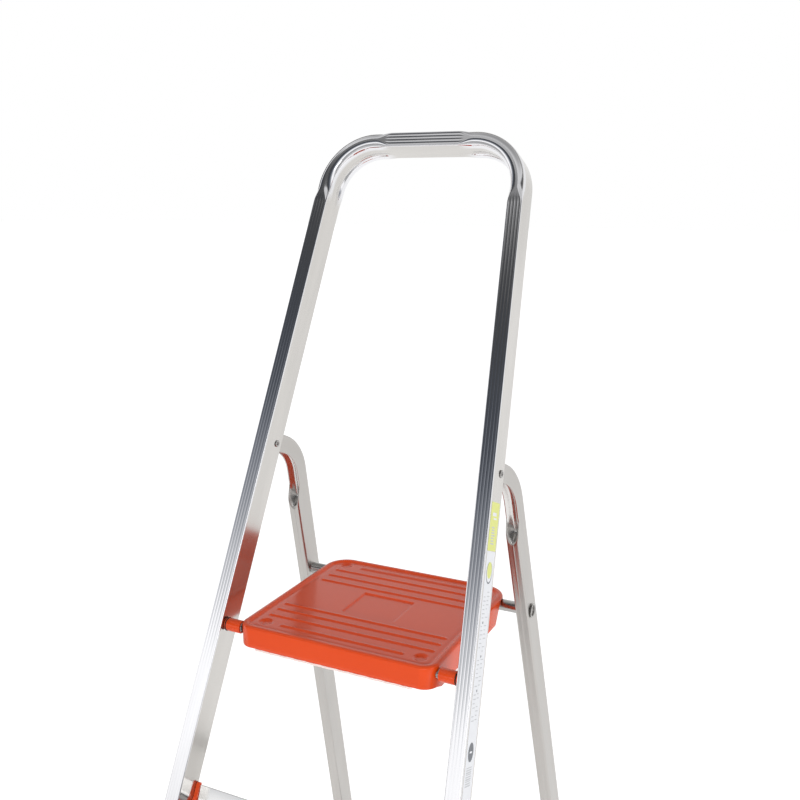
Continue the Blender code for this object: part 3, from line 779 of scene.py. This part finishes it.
def build_label():
    """A film label down the right stile's outer flange: plain blocks, bars and rings."""
    lime, white, ink, grey = (Nodes(f"label_{name}") for name in ("lime", "white", "ink", "grey"))
    tones = {
        lime: (0.70, 0.73, 0.18),
        white: (0.76, 0.77, 0.80),
        ink: (0.10, 0.11, 0.13),
        grey: (0.52, 0.53, 0.55),
    }
    for n, colour in tones.items():
        wear = n.noise(n.object(), 260, (1, 1, 0.4), 4, 0.6)
        n.link(n.mix(wear, tuple(c * 0.9 for c in colour), colour), n.shader.inputs["Base Color"])
        n.link(n.maths("MULTIPLY_ADD", wear, 0.15, 0.28), n.shader.inputs["Roughness"])
        n.bump(wear, 0.1, 0.00003)
    film("label_strip", white, block(-205, 146.4), 0.04, 0.06)
    film("label_lime_block", lime, block(147, 203), 0.04, 0.06)
    film("label_bar_top", white, block(187, 191, -1, 12, 0.5), 0.11, 0.03)
    film("label_bar_next", white, block(183, 185, 3, 14, 0.5), 0.11, 0.03)
    for row in range(7):
        up = 173 - 3.1 * row
        film(f"label_bar_{row}", grey, block(up, up + 1.6, 0, 9 + row * 5 % 4, 0.3), 0.11, 0.03)
    film("label_ring", ink, disc(122, 6.5, 12.5, 0.8), 0.11, 0.03)
    film("label_ring_field", white, disc(122.5, 6.5, 11.2, 0.8), 0.15, 0.03)
    film("label_mark", lime, disc(125, 6.5, 9.5, 0.8), 0.19, 0.03)
    for row in range(31):
        up = 99 - 4.7 * row
        if row % 8 == 7:
            film(f"label_dot_{row}", ink, disc(up, 2 + row * 5 % 7, 1.5), 0.11, 0.03)
            continue
        for column, (start, reach) in enumerate(((-4, 5), (7, 16))):
            if (row * 5 + column * 3) % 7 == 0:
                continue
            low = up + 0.8 * column
            end = reach - (row * 3 + column * 2) % 5
            film(f"label_line_{row}_{column}", grey, block(low, low + 1.1, start, end, 0.2), 0.11, 0.03)
    film("label_oval", ink, disc(-75.5, 6.0, 10.5, 0.8), 0.11, 0.03)
    film("label_oval_line", white, block(-76.5, -74.5, 2.5, 9.5, 0.5), 0.15, 0.03)
    for row in range(9):
        up = -92 - 2.4 * row
        film(f"label_code_{row}", grey, block(up - 0.5 - 0.3 * (row % 3), up + 0.6, -3, 14, 0.1), 0.11, 0.03)


# ---------------------------------------------------------------- rods and rivets
def tube_profile(half, radius, bore, flare, lip):
    """A tube along X with its ends rolled outward."""
    end = [(half - 1.2, radius), (half - 0.6, radius + 0.5), (half, flare - 0.5)]
    end += [(half + lip * 0.5, flare), (half + lip, flare - 0.6)]
    end += [(half + lip, bore + 1.2), (half + lip * 0.4, bore)]
    mirror = [(-x, r) for x, r in end[::-1]]
    return end[::-1] + mirror[::-1]


def ring_profile(low, high, bore, radius, edge):
    """A ring along X whose two outer edges are rounded."""
    fall = 0.3 * edge
    start = [(low, bore), (low, radius - edge), (low + fall, radius - fall), (low + edge, radius)]
    end = [(high - edge, radius), (high - fall, radius - fall), (high, radius - edge), (high, bore)]
    return start + end


def build_collar(side, ring_end, bore):
    """The thin lip of the sleeve beyond its black ring."""
    outward = 1 if side == "right" else -1
    start = outward * (ring_end + 0.2)
    end = start + outward * 1.2
    profile = [(start, bore), (start, 7.4), (end, 7.4), (end, bore)]
    mesh = turned_mesh(f"collar_{side}", profile, 0, 0, from_rod)
    finish_mesh(f"collar_{side}", mesh, PLASTIC, "front_frame", (), 40)


def build_rods():
    tubes = {
        "rear_rod": "rod_rear",
        "rear_brace_upper": "brace_upper",
        "rear_brace_lower": "brace_lower",
    }
    for node, name in tubes.items():
        low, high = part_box(node)
        half = high.x / MM - 1.6
        centre = (low + high) / 2
        y = (centre.y - ROD.y) / MM
        z = (centre.z - ROD.z) / MM
        mesh = turned_mesh(name, tube_profile(half, 7.5, 7.0, 9.6, 1.1), y, z, from_rod)
        finish_mesh(name, mesh, STEEL, "rear_frame", [node], 40)
    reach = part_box("front_rod")[1].x / MM
    bar = [(reach, 0.01), (reach, 3.4), (reach - 0.8, 4.0), (0.8 - reach, 4.0), (-reach, 3.4), (-reach, 0.01)]
    mesh = turned_mesh("rod_front", bar, 0, 0, from_rod)
    finish_mesh("rod_front", mesh, STEEL, "front_frame", ["front_rod"], 40)
    rings = (
        ("rod_sleeve", 8.1, 4.5, 0.7, PLASTIC, "orange_plastic"),
        ("rod_washer", 8.8, 4.5, 0.3, STEEL, "bright_steel"),
        ("rod_ring", 8.6, 4.5, 0.7, RUBBER, "black_plastic"),
    )
    for start, radius, bore, edge, material, slot in rings:
        for side in ("left", "right"):
            low, high = (corner.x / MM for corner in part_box(f"{start}_{side}"))
            if start == "rod_ring":
                if side == "right":
                    high = low + RING_WIDTH
                else:
                    low = high - RING_WIDTH
            if start == "rod_washer" and side == "left":
                radius = LEFT_WASHER_RADIUS
            if start == "rod_ring":
                build_collar(side, max(abs(low), abs(high)), bore)
            name = f"{start[4:]}_{side}"
            mesh = turned_mesh(name, ring_profile(low, high, bore, radius, edge), 0, 0, from_rod)
            finish_mesh(name, mesh, material, "front_frame", [f"{start}_{side}"], 40)


def build_rivets():
    """Hollow rivets: a rolled head with a dimple on both faces of the stile."""
    for side, name in ((1, "right"), (-1, "left")):
        outer = half_spread(HINGE_UP) + 0.35
        inner = half_spread(HINGE_UP) - STILE_WIDTH - 0.35
        head = [(outer, 3.1), (outer, 4.7), (outer + 0.6, 4.9), (outer + 1.2, 4.3), (outer + 1.3, 3.3)]
        head += [(outer + 0.9, 2.3), (outer - 0.4, 1.9), (outer - 0.6, 0.01)]
        tail = [(inner, 3.1), (inner, 4.4), (inner - 0.6, 4.6), (inner - 1.2, 4.0), (inner - 1.3, 3.0)]
        tail += [(inner - 0.8, 2.0), (inner + 0.4, 1.6), (inner + 0.5, 0.01)]
        profile = [(side * x, r) for x, r in head[::-1] + tail]
        mesh = turned_mesh(f"rivet_{name}", profile, RIVET_BACK, HINGE_UP, from_front, 40)
        node = f"pivot_rivet_{name}"
        finish_mesh(f"rivet_{name}", mesh, STEEL, "front_frame", [node], 40)


# ---------------------------------------------------------------- stage
def build_stage():
    floor_mesh = bpy.data.meshes.new("floor")
    reach = 40.0
    corners = [(-reach, -reach, 0), (reach, -reach, 0), (reach, reach, 0), (-reach, reach, 0)]
    floor_mesh.from_pydata(corners, [], [(0, 1, 2, 3)])
    floor = bpy.data.objects.new("floor", floor_mesh)
    floor.location.z = -0.0005
    bpy.context.scene.collection.objects.link(floor)
    n = Nodes("floor_white")
    n.shader.inputs["Base Color"].default_value = (0.45, 0.45, 0.45, 1)
    n.shader.inputs["Roughness"].default_value = 0.9
    n.shader.inputs["Specular IOR Level"].default_value = 0.1
    n.shader.inputs["Emission Color"].default_value = (1, 1, 1, 1)
    split = n.node("ShaderNodeSeparateXYZ")
    n.link(n.object(), split.inputs[0])
    behind = n.node("ShaderNodeMapRange")
    behind.inputs["From Min"].default_value = -1.7
    behind.inputs["From Max"].default_value = -1.1
    n.link(split.outputs["Y"], behind.inputs["Value"])
    lit = n.maths("MULTIPLY_ADD", behind.outputs[0], 0.62, 0.18)
    seen = n.node("ShaderNodeLightPath").outputs["Is Camera Ray"]
    n.link(n.maths("MAXIMUM", lit, n.maths("MULTIPLY", seen, 0.85)), n.shader.inputs["Emission Strength"])
    floor_mesh.materials.append(n.material)


def build_world():
    """A white studio whose ceiling and upper front are darker, as metal sees it."""
    world = bpy.data.worlds.new("studio")
    bpy.context.scene.world = world
    world.use_nodes = True
    tree = world.node_tree
    nodes, links = tree.nodes, tree.links
    coords = nodes.new("ShaderNodeTexCoord")
    split = nodes.new("ShaderNodeSeparateXYZ")
    links.new(coords.outputs["Generated"], split.inputs[0])

    def ramp(source, stops):
        made = nodes.new("ShaderNodeValToRGB")
        made.color_ramp.interpolation = "EASE"
        while len(made.color_ramp.elements) < len(stops):
            made.color_ramp.elements.new(0.5)
        for element, (place, level, blue) in zip(made.color_ramp.elements, stops):
            element.position = place
            element.color = (level * (1 - blue), level, level * (1 + 2 * blue), 1)
        links.new(source, made.inputs[0])
        return made.outputs[0]

    # by the sine of the elevation: the front half darkens above about 16 degrees
    low = [(0.0, 1.1, 0), (0.19, 1.25, 0), (0.28, 0.62, 0.02), (0.37, 0.26, 0.06), (0.47, 0.075, 0.1)]
    high = [(0.60, 0.06, 0.02), (0.66, 0.17, 0), (0.73, 0.75, 0), (1.0, 0.35, 0)]
    front = ramp(split.outputs["Z"], low + high)
    back = ramp(split.outputs["Z"], [(0.0, 0.95, 0), (0.45, 0.95, 0), (0.85, 0.45, 0), (1.0, 0.35, 0)])
    facing = ramp(split.outputs["Y"], [(0.0, 0.0, 0), (0.12, 1.0, 0)])
    blend = nodes.new("ShaderNodeMix")
    blend.data_type = "RGBA"
    links.new(facing, blend.inputs[0])
    links.new(front, blend.inputs[6])
    links.new(back, blend.inputs[7])
    path = nodes.new("ShaderNodeLightPath")
    seen = nodes.new("ShaderNodeMix")
    seen.data_type = "RGBA"
    links.new(path.outputs["Is Camera Ray"], seen.inputs[0])
    links.new(blend.outputs[2], seen.inputs[6])
    seen.inputs[7].default_value = (1, 1, 1, 1)
    links.new(seen.outputs[2], nodes["Background"].inputs[0])
    nodes["Background"].inputs[1].default_value = 1.0
    bpy.context.scene.view_settings.view_transform = "Standard"


def add_light(name, place, target, size, power, glossy):
    light = bpy.data.lights.new(name, "AREA")
    light.shape = "RECTANGLE"
    light.size, light.size_y = size
    light.energy = power
    made = bpy.data.objects.new(name, light)
    made.location = place
    aim = Vector(target) - Vector(place)
    made.rotation_euler = aim.to_track_quat("-Z", "Y").to_euler()
    made.visible_glossy = glossy
    bpy.context.scene.collection.objects.link(made)


def build_camera():
    lens = bpy.data.cameras.new("camera")
    lens.sensor_width = 36
    lens.lens = 43.18
    made = bpy.data.objects.new("camera", lens)
    made.location = ROD + Vector((0.53665, -0.91914, 0.54066))
    made.rotation_euler = (math.radians(90 - 12.41), 0, math.radians(26.16))
    bpy.context.scene.collection.objects.link(made)
    bpy.context.scene.camera = made


build_camera()
build_world()
build_stage()
add_light("front_soft", (0.5, -3.2, 1.9), ROD, (2.0, 1.4), 49, False)
add_light("side_soft", (3.2, -0.6, 1.3), ROD, (1.2, 1.2), 22, False)
add_light("glint", (1.5, -2.6, 2.0), ROD, (0.6, 1.1), 4, True)
build_hoop()
build_leg(1, "leg_right")
build_leg(-1, "leg_left")
build_tray()
build_hem()
build_treads()
build_rods()
build_rivets()
build_label()
cad_looks()
